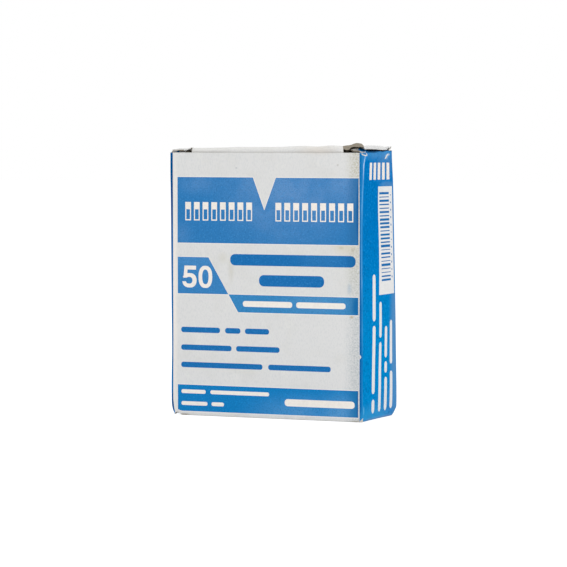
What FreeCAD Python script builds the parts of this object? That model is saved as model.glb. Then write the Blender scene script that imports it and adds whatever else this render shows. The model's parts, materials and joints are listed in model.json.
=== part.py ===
"""Tuck-end paperboard carton holding a row of glass microscope slides.

The carton stands upright on its bottom closure. X is its width, Y its depth with the front panel
towards -Y, and Z its height. The origin is the middle of the base. Sizes are millimetres.
"""
import FreeCAD, Part
import math
import os

# ---- glass slides -------------------------------------------------------------------------------
slide_count = 50
slide_length = 75.5
slide_width = 25.5
slide_thickness = 1.2
slide_gap = 0.03              # air between two neighbours in the row
slide_edge_break = 0.15       # ground bevel on every edge

# ---- paperboard ---------------------------------------------------------------------------------
board = 0.4                   # thickness of the board
wall_fold_radius = 0.9        # outside radius of the four upright folds
flap_fold_radius = 0.6        # outside radius of the dust flap folds
tuck_fold_radius = 0.9        # outside radius of the fold between a closure and its tuck flap
hinge_gap = 0.02              # air between two panels that share a hinge line

# ---- room inside the carton ---------------------------------------------------------------------
row_play = 1.0                # free play along the row of slides
slide_front_gap = 0.1         # from the slides to the front panel
slide_tuck_gap = 0.1          # from the slides to the free edge of the bottom tuck flap
slide_rest_gap = 0.02         # under the slides

# ---- top and bottom closures --------------------------------------------------------------------
top_tuck_depth = 6.0          # from the hinge line's level to the free edge
bottom_tuck_depth = 7.2
tuck_corner_radius = 4.0
tuck_wall_gap = 0.12          # from a tuck flap to the wall it slides behind
tuck_tip_gap = 0.2            # from the top tuck flap's free edge to the slides below it
tuck_side_gap = 0.6           # from a tuck flap's ends to the side walls
lock_tab_width = 6.3          # uncreased tab at each end of a closure's free edge
lock_slit = 0.3               # slit between such a tab and the tuck flap's shoulder
lid_side_gap = 0.3            # how far the lid stops short of the side walls' outer faces
bottom_side_gap = 1.8         # the same for the bottom closure
lid_lift = 0.5                # from the upper dust flaps to the lid
bottom_lift = 0.3             # from the bottom closure to the lower dust flaps
front_edge_drop = 1.3         # from the top of the lid to the front panel's raw edge

# ---- dust flaps and glue flap -------------------------------------------------------------------
top_dust_length = 22.0        # from the side wall's outer face to the flap's free edge
bottom_dust_gap = 0.6         # between the free edges of the two lower dust flaps
dust_side_gap = 0.3           # from a dust flap's long edges to what lies beside them
dust_corner_radius = 4.0
glue_flap_width = 11.0
glue_flap_inset = 0.6         # how far the glue flap stops short of the wall's ends, top and bottom
glue_flap_taper = 3.5         # the same at its free edge, beyond the inset

# ---- sizes that follow --------------------------------------------------------------------------
row_length = slide_count * slide_thickness + (slide_count - 1) * slide_gap
width = row_length + row_play + 3 * board

# A tuck flap is curved about its closure's hinge line, so that it slides out along its wall. The
# slides stand close to the front panel, and the bottom tuck flap clears them at its free edge.
tip_reach = board / 2 + slide_front_gap + slide_width + slide_tuck_gap
swing_inside = math.hypot(tip_reach, bottom_tuck_depth)
swing_outside = swing_inside + board
depth = swing_outside + tuck_wall_gap + 1.5 * board
hinge_y = depth / 2 - board / 2                     # the lid's hinge line, and minus the bottom's

lower_dust_z = board + bottom_lift                  # underside of the lower dust flaps
slide_z = lower_dust_z + board + slide_rest_gap
lid_axis_z = slide_z + slide_length + tuck_tip_gap + top_tuck_depth
height = lid_axis_z + board / 2
bottom_axis_z = board / 2
upper_dust_z = height - board - lid_lift - board    # underside of the upper dust flaps

wall_low_z = lower_dust_z + flap_fold_radius        # the side walls are straight between these
wall_high_z = upper_dust_z + board - flap_fold_radius
straight_x = width / 2 - wall_fold_radius           # end of the front and back panels' flat part
dust_reach = swing_inside - hinge_y - dust_side_gap  # long edge of a dust flap beside a tuck flap


def box(x0, x1, y0, y1, z0, z1):
    """Box between two corners."""
    return Part.makeBox(x1 - x0, y1 - y0, z1 - z0, FreeCAD.Vector(x0, y0, z0))


def face_of(runs):
    """Face whose edge is made of lines, given by two points, and arcs, given by three."""
    edges = [Part.LineSegment(*run).toShape() if len(run) == 2 else Part.Arc(*run).toShape() for run in runs]
    return Part.Face(Part.Wire(edges))


def folded_strip(path, radius, placed):
    """Face of a folded board in section.

    path is the board's mid-line as corner points, radius the mid-line radius of its folds, and
    placed turns a point of the section into a point in space.
    """
    half = board / 2
    points = [FreeCAD.Vector(x, y, 0) for x, y in path]
    left, right = [], []
    start = points[0]
    for i in range(1, len(points)):
        along = (points[i] - points[i - 1]).normalize()
        side = FreeCAD.Vector(-along.y, along.x, 0) * half
        if i == len(points) - 1:
            left.append((start + side, points[i] + side))
            right.append((start - side, points[i] - side))
            break
        onward = (points[i + 1] - points[i]).normalize()
        turn = math.atan2(along.cross(onward).z, along.dot(onward))
        reach = radius * math.tan(abs(turn) / 2)
        stop = points[i] - along * reach
        next_start = points[i] + onward * reach
        next_side = FreeCAD.Vector(-onward.y, onward.x, 0) * half
        centre = stop + FreeCAD.Vector(-along.y, along.x, 0) * math.copysign(radius, turn)
        middle = (points[i] - centre).normalize()
        bend = math.copysign(half, turn)
        left += [(start + side, stop + side),
                 (stop + side, centre + middle * (radius - bend), next_start + next_side)]
        right += [(start - side, stop - side),
                  (stop - side, centre + middle * (radius + bend), next_start - next_side)]
        start = next_start
    end_cap = (left[-1][-1], right[-1][-1])
    start_cap = (right[0][0], left[0][0])
    runs = left + [end_cap] + [run[::-1] for run in right[::-1]] + [start_cap]
    return face_of([[placed(point) for point in run] for run in runs])


def wall_strip(path, low_z, high_z):
    """Upright board that follows a path in plan."""
    face = folded_strip(path, wall_fold_radius - board / 2, lambda p: FreeCAD.Vector(p.x, p.y, low_z))
    return face.extrude(FreeCAD.Vector(0, 0, high_z - low_z))


def dust_flap(side, level_z, wall_z, free_x, y0, y1):
    """Side wall's edge folded over into a dust flap.

    side is the wall's direction along X, level_z the flap's middle, wall_z where the strip starts
    inside the wall, and free_x how far from the middle of the carton its free edge lies.
    """
    wall_x = width / 2 - board / 2
    path = [(side * wall_x, wall_z), (side * wall_x, level_z), (side * free_x, level_z)]
    face = folded_strip(path, flap_fold_radius - board / 2, lambda p: FreeCAD.Vector(p.x, y0, p.y))
    strip = face.extrude(FreeCAD.Vector(0, y1 - y0, 0))
    corners = [
        edge for edge in strip.Edges
        if abs(edge.CenterOfMass.x - side * free_x) < board / 4
        and abs(edge.BoundBox.ZLength - board) < board / 4
    ]
    return strip.makeFillet(dust_corner_radius, corners)


def glue_flap():
    """Flap that folds from the back panel and is glued inside the left wall, its ends tapered."""
    low_z = wall_low_z + glue_flap_inset
    high_z = wall_high_z - glue_flap_inset
    flap_x = -width / 2 + board + board / 2
    back_y = depth / 2 - board / 2
    fold_y = depth / 2 - wall_fold_radius
    free_y = depth / 2 - glue_flap_width
    path = [(-straight_x + 2 * wall_fold_radius, back_y), (flap_x, back_y), (flap_x, free_y)]
    flap = wall_strip(path, low_z, high_z)
    for end_z, inward in ((low_z, 1), (high_z, -1)):
        wedge_x = flap_x - board
        corner = [
            FreeCAD.Vector(wedge_x, free_y, end_z),
            FreeCAD.Vector(wedge_x, fold_y, end_z),
            FreeCAD.Vector(wedge_x, free_y, end_z + inward * glue_flap_taper),
        ]
        wedge = Part.Face(Part.makePolygon(corner + corner[:1]))
        flap = flap.cut(wedge.extrude(FreeCAD.Vector(2 * board, 0, 0)))
    return flap


def carton_body():
    """Four walls, glue flap and four dust flaps, folded from one blank."""
    side_x = width / 2 - board / 2
    wall_y = depth / 2 - board / 2
    seam_y = depth / 2 - wall_fold_radius
    seam_x = -width / 2 + board + wall_fold_radius
    path = [(-side_x, seam_y), (-side_x, -wall_y), (side_x, -wall_y), (side_x, wall_y), (seam_x, wall_y)]
    pieces = [glue_flap()]

    overlap = 2 * board
    front = (-depth / 2, -depth / 2 + board)
    back = (depth / 2 - board, depth / 2)
    pieces.append(box(-straight_x, straight_x, *front, board + hinge_gap, wall_low_z + overlap))
    pieces.append(box(-straight_x, straight_x, *front, wall_high_z - overlap, height - front_edge_drop))
    pieces.append(box(seam_x, straight_x, *back, 0, wall_low_z + overlap))
    pieces.append(box(seam_x, straight_x, *back, wall_high_z - overlap, height - board - hinge_gap))

    wall_reach = depth / 2 - board - dust_side_gap
    top_free_x = width / 2 - top_dust_length
    bottom_free_x = bottom_dust_gap / 2
    for side in (-1, 1):
        pieces.append(dust_flap(side, upper_dust_z + board / 2, wall_high_z - overlap,
                                top_free_x, -dust_reach, wall_reach))
        pieces.append(dust_flap(side, lower_dust_z + board / 2, wall_low_z + overlap,
                                bottom_free_x, -wall_reach, dust_reach))
    return wall_strip(path, wall_low_z, wall_high_z).multiFuse(pieces).removeSplitter()


def on_swing(radius, drop):
    """Point at a distance from the hinge line, drop below its level, seen along the hinge line."""
    return FreeCAD.Vector(0, -math.sqrt(radius ** 2 - drop ** 2), -drop)


def tuck_runs(first_drop, last_drop):
    """Outer arc, free edge and inner arc of a tuck flap's section."""
    middle_drop = (first_drop + last_drop) / 2
    outer = [on_swing(swing_outside, drop) for drop in (first_drop, middle_drop, last_drop)]
    inner = [on_swing(swing_inside, drop) for drop in (last_drop, middle_drop, first_drop)]
    return [outer, [outer[2], inner[0]], inner]


def creased_section(tuck_depth):
    """Section of a closure where it is creased: hinge edge, panel, fold and tuck flap."""
    half = board / 2
    level = tuck_fold_radius - half
    tuck = tuck_runs(level, tuck_depth)
    centre = FreeCAD.Vector(0, -swing_outside + tuck_fold_radius, -level)
    diagonal = FreeCAD.Vector(0, -1, 1).normalize()
    top_start = FreeCAD.Vector(0, 0, half)
    top_end = FreeCAD.Vector(0, centre.y, half)
    under_start = FreeCAD.Vector(0, centre.y, -half)
    under_end = FreeCAD.Vector(0, 0, -half)
    runs = [
        [top_start, top_end],
        [top_end, centre + diagonal * tuck_fold_radius, tuck[0][0]],
        *tuck,
        [tuck[2][2], centre + diagonal * (tuck_fold_radius - board), under_start],
        [under_start, under_end],
        [under_end, FreeCAD.Vector(0, half, 0), top_start],
    ]
    return face_of(runs)


def tab_section():
    """Section of a closure through a lock tab: hinge edge and flat panel."""
    half = board / 2
    raw_y = -swing_outside
    top, under = FreeCAD.Vector(0, 0, half), FreeCAD.Vector(0, 0, -half)
    raw_top, raw_under = FreeCAD.Vector(0, raw_y, half), FreeCAD.Vector(0, raw_y, -half)
    return face_of([[top, raw_top], [raw_top, raw_under], [raw_under, under],
                    [under, FreeCAD.Vector(0, half, 0), top]])


def shoulder_section(tuck_depth):
    """Section of a tuck flap's shoulder, which the slit separates from its tab."""
    tuck = tuck_runs(board / 2 + lock_slit, tuck_depth)
    return face_of([*tuck, [tuck[2][2], tuck[0][0]]])


def closure(panel_half, tuck_depth):
    """Closure panel with its tuck flap, hinge line on the X axis, panel towards -Y, flap down."""
    crease_half = width / 2 - lid_side_gap - lock_tab_width
    flap_half = min(panel_half, width / 2 - board) - tuck_side_gap

    def run(section, x0, x1):
        return section.translated(FreeCAD.Vector(x0, 0, 0)).extrude(FreeCAD.Vector(x1 - x0, 0, 0))

    outline = box(-flap_half, flap_half, -swing_outside - board, 0, -tuck_depth, board)
    corners = [
        edge for edge in outline.Edges
        if edge.BoundBox.YLength > board and edge.BoundBox.ZMax < board - tuck_depth
    ]
    outline = outline.makeFillet(tuck_corner_radius, corners)
    pieces = [
        run(tab_section(), -panel_half, -crease_half),
        run(tab_section(), crease_half, panel_half),
        run(shoulder_section(tuck_depth), -flap_half, flap_half).common(outline),
    ]
    return run(creased_section(tuck_depth), -crease_half, crease_half).multiFuse(pieces).removeSplitter()


def top_lid():
    """Lid, hinged along the back panel's top edge and tucked in behind the front panel."""
    lid = closure(width / 2 - lid_side_gap, top_tuck_depth)
    return lid.translated(FreeCAD.Vector(0, hinge_y, lid_axis_z))


def bottom_closure():
    """Bottom, hinged along the front panel's bottom edge and tucked in behind the back panel."""
    bottom = closure(width / 2 - bottom_side_gap, bottom_tuck_depth)
    bottom.rotate(FreeCAD.Vector(), FreeCAD.Vector(1, 0, 0), 180)
    return bottom.translated(FreeCAD.Vector(0, -hinge_y, bottom_axis_z))


def glass_slide(index):
    """One slide of the row, standing on its short edge with its faces across the row."""
    x0 = -width / 2 + 2 * board + row_play / 2 + index * (slide_thickness + slide_gap)
    y0 = -depth / 2 + board + slide_front_gap
    blank = box(x0, x0 + slide_thickness, y0, y0 + slide_width, slide_z, slide_z + slide_length)
    return blank.makeChamfer(slide_edge_break, blank.Edges)


def main():
    os.makedirs("parts", exist_ok=True)
    nodes = {"carton_body": carton_body(), "top_lid": top_lid(), "bottom_closure": bottom_closure()}
    for index in range(slide_count):
        nodes["glass_slide_%02d" % (index + 1)] = glass_slide(index)
    for name, shape in nodes.items():
        shape.exportStep("parts/%s.step" % name)
    print("carton %.3f x %.3f x %.3f mm, hinge lines y %.4f, z %.4f and %.4f"
          % (width, depth, height, hinge_y, lid_axis_z, bottom_axis_z))


main()
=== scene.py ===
"""Closed paperboard carton of fifty microscope slides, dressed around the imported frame.

Every board piece is cut flat as its own die-cut blank, printed in fields of ink, then folded over
the frame's walls and closures and given its thickness. Lengths in the making are millimetres.
"""
import json
import math

import bpy
import numpy as np
from mathutils import Matrix, Vector
from mathutils.geometry import delaunay_2d_cdt


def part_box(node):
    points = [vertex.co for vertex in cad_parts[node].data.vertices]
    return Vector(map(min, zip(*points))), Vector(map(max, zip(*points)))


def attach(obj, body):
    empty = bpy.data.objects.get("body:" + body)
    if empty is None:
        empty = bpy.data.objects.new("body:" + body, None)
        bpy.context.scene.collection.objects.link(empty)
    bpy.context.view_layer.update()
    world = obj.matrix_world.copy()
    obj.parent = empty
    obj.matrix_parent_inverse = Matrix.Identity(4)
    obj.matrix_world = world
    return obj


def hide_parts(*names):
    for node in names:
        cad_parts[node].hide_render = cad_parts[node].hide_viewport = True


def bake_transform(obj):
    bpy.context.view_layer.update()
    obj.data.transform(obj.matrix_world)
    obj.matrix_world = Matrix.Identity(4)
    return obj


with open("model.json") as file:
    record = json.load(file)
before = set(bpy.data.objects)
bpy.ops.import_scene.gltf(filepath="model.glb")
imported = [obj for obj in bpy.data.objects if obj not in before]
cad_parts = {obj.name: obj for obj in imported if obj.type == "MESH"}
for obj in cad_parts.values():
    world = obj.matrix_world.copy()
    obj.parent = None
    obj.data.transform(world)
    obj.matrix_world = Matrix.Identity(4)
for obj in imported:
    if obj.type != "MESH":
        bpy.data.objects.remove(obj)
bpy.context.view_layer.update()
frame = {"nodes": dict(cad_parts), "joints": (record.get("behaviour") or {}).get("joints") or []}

MM = 0.001
QUARTER = math.pi / 2


# ---- sizes read from the frame ------------------------------------------------------------------
def box_mm(node):
    """Lowest and highest corner of a CAD node, in millimetres."""
    low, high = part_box(node)
    return np.array(low) / MM, np.array(high) / MM


body_high = box_mm("carton_body")[1]
lid_low, lid_high = box_mm("top_lid")
base_low, base_high = box_mm("bottom_closure")
hinge = {joint["name"]: np.array(joint["pos_m"]) / MM for joint in frame["joints"]}

half_w, half_d = body_high[0], body_high[1]
lid_y, lid_z = hinge["lid_hinge"][1:]
base_y, base_z = hinge["bottom_hinge"][1:]
board = 2 * (lid_high[2] - lid_z)          # thickness of the board
swing = lid_y - lid_low[1]                 # a closure's reach from its hinge line to its free side

wall_fold = 0.9                            # outside radius of the upright folds
flap_fold = 0.6                            # outside radius of the dust flap folds
tuck_fold = 0.9                            # outside radius of the tuck flap folds
hinge_fold = 0.55                          # outside radius of the creases at the two hinges
lock_tab = 6.3                             # uncreased tab at each end of a closure
front_top = lid_high[2] - 1.3              # raw top edge of the front panel
lower_fold_z, upper_fold_z = 1.3, 81.52    # the side walls are straight between these
wall_end_low = 0.42                        # raw lower edge of the walls at the corners
flap_turn = flap_fold * QUARTER            # board taken up by a dust flap's fold

# Blank coordinates run round the carton: across the front panel u is the frame's X.
flat_x, flat_y = half_w - wall_fold, half_d - wall_fold
arc = wall_fold * QUARTER
u_front = flat_x
u_right = u_front + arc
u_right_end = u_right + 2 * flat_y
u_back = u_right_end + arc
u_back_end = u_back + flat_x + half_w - board - wall_fold
u_glue = u_back_end + arc
u_glue_end = u_glue + 11.0 - wall_fold
u_left_end = -u_right_end


def side_u(y):
    """Blank coordinate of a depth on the right side wall."""
    return u_right + y + flat_y


near_u, far_u = side_u(-12.78), side_u(13.05)    # a dust flap's sides


# ---- curves and fields of wear ------------------------------------------------------------------
def curve(at, stops):
    """Smooth curve through (place, value) stops, level beyond its ends."""
    place, value = np.array(stops, float).T
    slope = np.gradient(value, place)
    slope[0] = slope[-1] = 0
    at = np.clip(at, place[0], place[-1])
    i = np.clip(np.searchsorted(place, at, side="right") - 1, 0, len(place) - 2)
    span = place[i + 1] - place[i]
    t = (at - place[i]) / span
    rise = value[i] * (2 * t**3 - 3 * t**2 + 1) + value[i + 1] * (3 * t**2 - 2 * t**3)
    return rise + span * (slope[i] * (t**3 - 2 * t**2 + t) + slope[i + 1] * (t**3 - t**2))


def ease(at, low, high):
    """0 up to low, 1 from high, smooth between; low may lie above high."""
    t = np.clip((np.asarray(at, float) - low) / (high - low), 0, 1)
    return t * t * (3 - 2 * t)


def ripple(a, b, pitch, seed):
    """Gentle unevenness between -1 and 1 over a sheet."""
    total = np.zeros_like(a)
    for k in range(4):
        turn = seed * 1.7 + k * 2.39996
        wave = (a * math.cos(turn) + b * math.sin(turn)) * 2 * math.pi / (pitch * (1 + 0.37 * k))
        total += np.sin(wave + seed * 3.1 + k * 1.3)
    return total / 4


def lean_right(y, z):
    """How far the right side wall stands out from true, across its depth and height."""
    s = np.clip((y + half_d) / (2 * half_d), 0, 1)
    near = curve(z, [(60, 0.0), (68, 0.05), (76, 0.3), (82, 0.55)])
    far = curve(z, [(0, 0.75), (3, 0.95), (8, 0.95), (14, 0.8), (28, 0.5), (50, 0.08), (60, -0.05),
                    (71, -0.2), (83, -0.45)])
    belly = curve(z, [(0, -0.35), (12, -0.1), (38, 0.34), (55, 0.0), (71, -0.45), (83, -0.35)])
    crush = curve(z, [(0, 0.0), (15, 0.05), (50, 0.0), (60, -0.1), (71, -0.2), (83, -0.5)])
    return near * (1 - s) ** 1.5 + far * s + belly * 4 * s * (1 - s) + crush * ease(y, 10.0, half_d)


def lean_left(y, z):
    """The same for the left side wall, outwards being -X."""
    s = np.clip((half_d - y) / (2 * half_d), 0, 1)
    return s * curve(z, [(0.3, -0.8), (1.1, -0.28), (2.1, 0.08), (3.5, 0.3), (6, 0.38), (21, 0.24), (36, 0.4),
                         (51, 0.52), (66, 0.64), (76, 0.8), (83, 0.8)])


def corner_crush(point, strength):
    """Rounds off the bottom corner at the back of the right side."""
    x, y, z = point.T
    near = np.clip(1 - np.hypot((half_d - y) / 3.6, np.maximum(z, 0) / 2.6), 0, 1) * ease(x, 24, 29)
    push = strength * near**1.2
    return np.stack([-0.3 * push, -0.9 * push, 1.5 * push], 1)


def corner_dent(point):
    """Lifts the crumpled bottom corner at the front's left end."""
    x, y, z = point.T
    lift = curve(x, [(-31.2, 0.04), (-30.85, 0.1), (-30.5, 0.5), (-30.05, 0.75), (-29.2, 0.5), (-28.75, 0.08),
                     (-28.0, 0.0)])
    return np.stack([0 * x, 0 * y, lift * ease(y, -5, -12) * ease(z, 2.1, 0.7)], 1)


def settle_walls(point, u):
    """Displacement of the folded carton body, from wear and spring in the board."""
    x, y, z = point.T
    across, wide = np.abs(x), np.abs(u)
    right = ease(u, 30.7, 31.9) * np.where(u > u_right_end, np.clip(x / half_w, 0, 1), 1.0)
    left = ease(-u, 30.7, 31.9)
    move = np.zeros_like(point)
    move[:, 0] = right * lean_right(y, z) - left * lean_left(y, z)
    front = (wide < u_front) * ease(wide, 31, 25) * ease(z, 1, 6) * ease(z, 81, 76)
    back = ((u > u_back) & (u < u_back_end)) * ease(across, 31, 24) * ease(z, 1, 6) * ease(z, 82, 77)
    move[:, 1] = -0.10 * front * (1 + ripple(x, z, 46, 1)) + back * (0.25 + 0.2 * ripple(x, z, 40, 5))
    side = (wide > u_right) & (wide < u_right_end)
    move[:, 0] += side * np.sign(u) * ease(np.abs(y), 13, 9) * 0.09 * ripple(y, z, 21, 3)
    low_rim = ease(across, 30.2, 31.2) * ease(z, 3.0, 1.3) * ease(np.abs(y), half_d, 11)
    move[:, 2] -= np.where(x > 0, 0.68, 0.4) * low_rim * side
    return move + corner_crush(point, 1.0) + corner_dent(point)


def settle_dust_flaps(point, flap):
    """Spring of the upper dust flaps, which stand a little above flat."""
    x, y, z = point.T
    across = np.abs(x)
    dome = np.sin(math.pi * np.clip((y + 12.8) / 25.9, 0, 1)) * ease(across, 31.2, 29.6)
    sprung = ease(y, -3.5, -8.5) * ease(across, 31.3, 29.9) * ease(across, 25.2, 27.4)
    front_lift = np.where(x > 0, 0.34 + 0.5 * ease(y, -12.7, -11.6), 0.3 * ease(y, -12.9, -11.0))
    lift = 0.3 * dome + sprung * front_lift
    lift -= np.where(x > 0, 0.02, 0.58) * ease(y, -11.5, -12.8) * ease(across, 31.6, 31.0)
    fold_line = curve(y, [(-13.2, 0.0), (-12.2, -0.26), (-10, -0.32), (-3, -0.28), (1.5, -0.05), (3, 0.1),
                          (4.2, -0.05), (7, -0.05), (8.5, 0.18), (13, 0.16)])
    lift += (x > 0) * ease(across, 29.5, 30.8) * fold_line
    move = np.zeros_like(point)
    move[:, 2] = lift * flap
    return move


def settle_lid(point, tab):
    """Displacement of the lid: its free side has sprung up, most of all at the right lock tab."""
    x, y, z = point.T
    across = np.abs(x)
    free, fore = ease(y, -4.5, -12.6), ease(y, -11.3, -13.2)
    spring = curve(x, [(-31.5, -0.05), (-26, 0.12), (-18, 0.18), (-10, 0.42), (4, 0.46), (12.6, 0.75),
                       (16.5, 0.58), (21, 0.92), (25, 0.72), (31.5, 0.5)])
    curl = curve(x, [(-31.5, -0.42), (-28, -0.45), (-27.6, -0.45), (-26.8, -0.33), (-26, -0.02),
                     (-25.2, 0.12), (25.0, -0.15), (25.7, 0.1), (26.7, 0.3), (27.8, 0.46), (28.5, 0.76),
                     (29.1, 0.95), (29.7, 1.06), (30.4, 1.0), (31.1, 0.9), (31.5, 0.7)])
    lift = spring * free + tab * (across > 20) * curl * ease(y, -9.0, -13.6) ** 1.5
    ridge = curve(y, [(-13.5, 0.1), (-9, 0.25), (-6, 0.75), (-3, 0.95), (2, 0.95), (7.4, 0.85), (11, 0.75),
                      (13.5, 0.1)])
    lift += ridge * np.exp(-((x - 29.3) / 1.5) ** 2)
    side_rim = curve(y, [(-13.7, 1.05), (-12.9, 0.65), (-12.1, 0.25), (-9.5, 0.2), (-3, 0.16), (2, 0.04),
                         (8.6, 0.05), (9.9, 0.15), (10.3, 0.5), (10.9, 0.85), (11.6, 0.2), (12.5, 0.2),
                         (13.4, 0.75)])
    rolled = ease(x, 29.9 + 1.2 * fore, 31.45 + 0.3 * fore)
    lift = lift * (1 - rolled) + side_rim * rolled
    lift += 0.12 * ripple(x, y, 27, 2) * ease(across, 31.5, 25) * ease(y, 13, 8) * ease(y, -13, -8)
    move = np.zeros_like(point)
    move[:, 0] = back_shift(x) * ease(y, -6, 13)
    move[:, 0] += tab * fore * np.where(x > 0, 0.2, -0.55) * ease(across, 28.5, 31.3)
    move[:, 0] -= 0.35 * tab * (x > 0) * ease(x, 27.2, 25.3)
    tucked_edge = ease(y, -11.5, -13.0) * ease(z + lift, front_top - 0.1, front_top + 0.3)
    move[:, 1] = -0.34 * tucked_edge * ease(across, 25.3, 24.6)
    move[:, 2] = lift
    return move


def back_shift(x):
    """How far the back wall's upper end is pushed in towards the left, along its width."""
    return np.clip(x / half_w, 0, 1) * lean_right(np.array([half_d]), np.array([lid_z]))[0]


def settle_base(point):
    """Displacement of the bottom closure."""
    x, y, z = point.T
    move = corner_crush(point, 0.75) + corner_dent(point)
    move[:, 2] += 0.05 * (1 + ripple(x, y, 33, 4)) * ease(y, 13, 8) * ease(y, -13, -8)
    return move


# ---- the folded form of each blank --------------------------------------------------------------
SLACK = 1e-3                               # a blank's points come back from the cutter this exact


def on_walls(u, v):
    """Outer face of the carton body at blank coordinates: points and outward normals."""
    ends = [u_left_end, -u_right, -u_front, u_front, u_right, u_right_end, u_back, u_back_end, u_glue,
            u_glue_end]
    place, heading = np.zeros((len(u), 2)), np.zeros(len(u))
    start, turn = np.array([-half_w, flat_y]), -QUARTER
    for k, (first, last) in enumerate(zip(ends, ends[1:])):
        here = (u >= first - SLACK) & (u <= last + SLACK)
        run = u - first
        if k % 2 == 0:
            way = np.array([math.cos(turn), math.sin(turn)])
            spot, angle = start + run[:, None] * way, np.full(len(u), turn)
            start = start + (last - first) * way
        else:
            centre = start + wall_fold * np.array([-math.sin(turn), math.cos(turn)])
            angle = turn + run / wall_fold
            spot = centre + wall_fold * np.stack([np.sin(angle), -np.cos(angle)], 1)
            turn += QUARTER
            start = centre + wall_fold * np.array([math.sin(turn), -math.cos(turn)])
        place[here], heading[here] = spot[here], angle[here]
    out = np.stack([np.sin(heading), -np.cos(heading)], 1)
    over = np.where(on_flap(u), np.maximum(v - upper_fold_z, 0) - np.maximum(lower_fold_z - v, 0), 0.0)
    bend = np.clip(np.abs(over) / flap_fold, 0, QUARTER)
    inward = flap_fold * (1 - np.cos(bend)) + np.maximum(np.abs(over) - flap_turn, 0)
    root = np.where(over > 0, upper_fold_z, lower_fold_z)
    level = np.where(over == 0, v, root + np.sign(over) * flap_fold * np.sin(bend))
    point = np.column_stack([place - out * inward[:, None], level])
    return point, np.column_stack([out * np.cos(bend)[:, None], np.sign(over) * np.sin(bend)])


def on_flap(u):
    """Whether a blank coordinate lies within the width of a dust flap."""
    return (np.abs(u) > near_u - SLACK) & (np.abs(u) < far_u + SLACK)


def closure_sizes(half_width, tuck_depth):
    """Landmarks along a closure, from its hinge line to the tuck flap's free edge."""
    flat_end = swing - tuck_fold
    fold_end = flat_end + tuck_fold * QUARTER
    first = math.asin((tuck_fold - board / 2) / swing)
    last = math.asin(tuck_depth / swing)
    return {
        "half": half_width,
        "crease_half": half_w - 0.3 - lock_tab,
        "tuck_half": min(half_width, half_w - board) - 0.6,
        "flat_end": flat_end,
        "fold_end": fold_end,
        "first": first,
        "tuck_end": fold_end + swing * (last - first),
    }


lid_sizes = closure_sizes(lid_high[0], lid_z - lid_low[2])
base_sizes = closure_sizes(base_high[0], base_high[2] - base_z)


def on_closure(sizes, axis_y, axis_z, way):
    """Returns the outer face of a closure as a function of its blank coordinates."""

    def place(x, s):
        bend = np.clip((s - sizes["flat_end"]) / tuck_fold, 0, QUARTER)
        swung = sizes["first"] + (s - sizes["fold_end"]) / swing
        reach = np.where(s <= sizes["flat_end"], s, sizes["flat_end"] + tuck_fold * np.sin(bend))
        shape = (reach, board / 2 - tuck_fold * (1 - np.cos(bend)), np.sin(bend), np.cos(bend))
        tucked = (swing * np.cos(swung), -swing * np.sin(swung), np.cos(swung), -np.sin(swung))
        for here, other in ((s > sizes["fold_end"], tucked), (is_tab(sizes, x, s), (s, board / 2, 0, 1))):
            shape = [np.where(here, new, old) for new, old in zip(other, shape)]
        reach, height, along, up = shape
        point = np.column_stack([x, axis_y - way * reach, axis_z + way * height])
        return point, np.column_stack([0 * x, -way * along, way * up])

    return place


def is_tab(sizes, x, s):
    """Whether a point of a closure's blank lies on one of its two lock tabs."""
    return (np.abs(x) > sizes["crease_half"] + 0.03) & (s < swing + 0.08)


def on_crease(axis_z, way):
    """Outer face of the crease between a wall and its closure; s runs from the wall."""

    def place(x, s):
        round_y, round_z = way * np.cos(s / hinge_fold), way * np.sin(s / hinge_fold)
        centre_y = way * (half_d - hinge_fold)
        centre_z = axis_z + way * (board / 2 - hinge_fold)
        point = np.column_stack([x, centre_y + hinge_fold * round_y, centre_z + hinge_fold * round_z])
        return point, np.column_stack([0 * x, round_y, round_z])

    return place


# ---- print shapes -------------------------------------------------------------------------------
def bar(u0, v0, u1, v1, round_by=0.0):
    """Rectangle with its corners rounded."""
    r = min(round_by, abs(u1 - u0) / 2, abs(v1 - v0) / 2)
    if r <= 0:
        return [(u0, v0), (u1, v0), (u1, v1), (u0, v1)]
    shape, steps = [], 5
    for cu, cv, turn in ((u1 - r, v0 + r, -1), (u1 - r, v1 - r, 0), (u0 + r, v1 - r, 1), (u0 + r, v0 + r, 2)):
        for k in range(steps + 1):
            angle = (turn + k / steps) * QUARTER
            shape.append((cu + r * math.cos(angle), cv + r * math.sin(angle)))
    return shape


def oval(cu, cv, ru, rv):
    """Upright ellipse with squared shoulders."""
    shape, steps = [], 28
    for k in range(steps):
        angle = 2 * math.pi * k / steps
        c, s = math.cos(angle), math.sin(angle)
        shape.append((cu + ru * math.copysign(abs(c) ** 0.8, c), cv + rv * math.copysign(abs(s) ** 0.9, s)))
    return shape


def set_out(shape, reach):
    """An outline drawn anticlockwise, set outwards by reach all round but for its right end."""
    points = np.array(shape)
    ahead = np.roll(points, -1, axis=0) - points
    normals = np.stack([ahead[:, 1], -ahead[:, 0]], 1) / np.linalg.norm(ahead, axis=1)[:, None]
    before = np.roll(normals, 1, axis=0)
    corner = (normals + before) / (1 + (normals * before).sum(1))[:, None]
    right_end = float(points[:, 0].max())
    return [(min(float(u), right_end), float(v)) for u, v in points + reach * corner]


def inside(points, polygon):
    """Which points lie inside a closed polygon."""
    px, py = points.T
    found = np.zeros(len(points), bool)
    ring = np.array(polygon)
    for (ax, ay), (bx, by) in zip(ring, np.roll(ring, -1, 0)):
        if ay == by:
            continue
        crosses = (ay > py) != (by > py)
        found ^= crosses & (px < (bx - ax) * (py - ay) / (by - ay) + ax)
    return found


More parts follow.
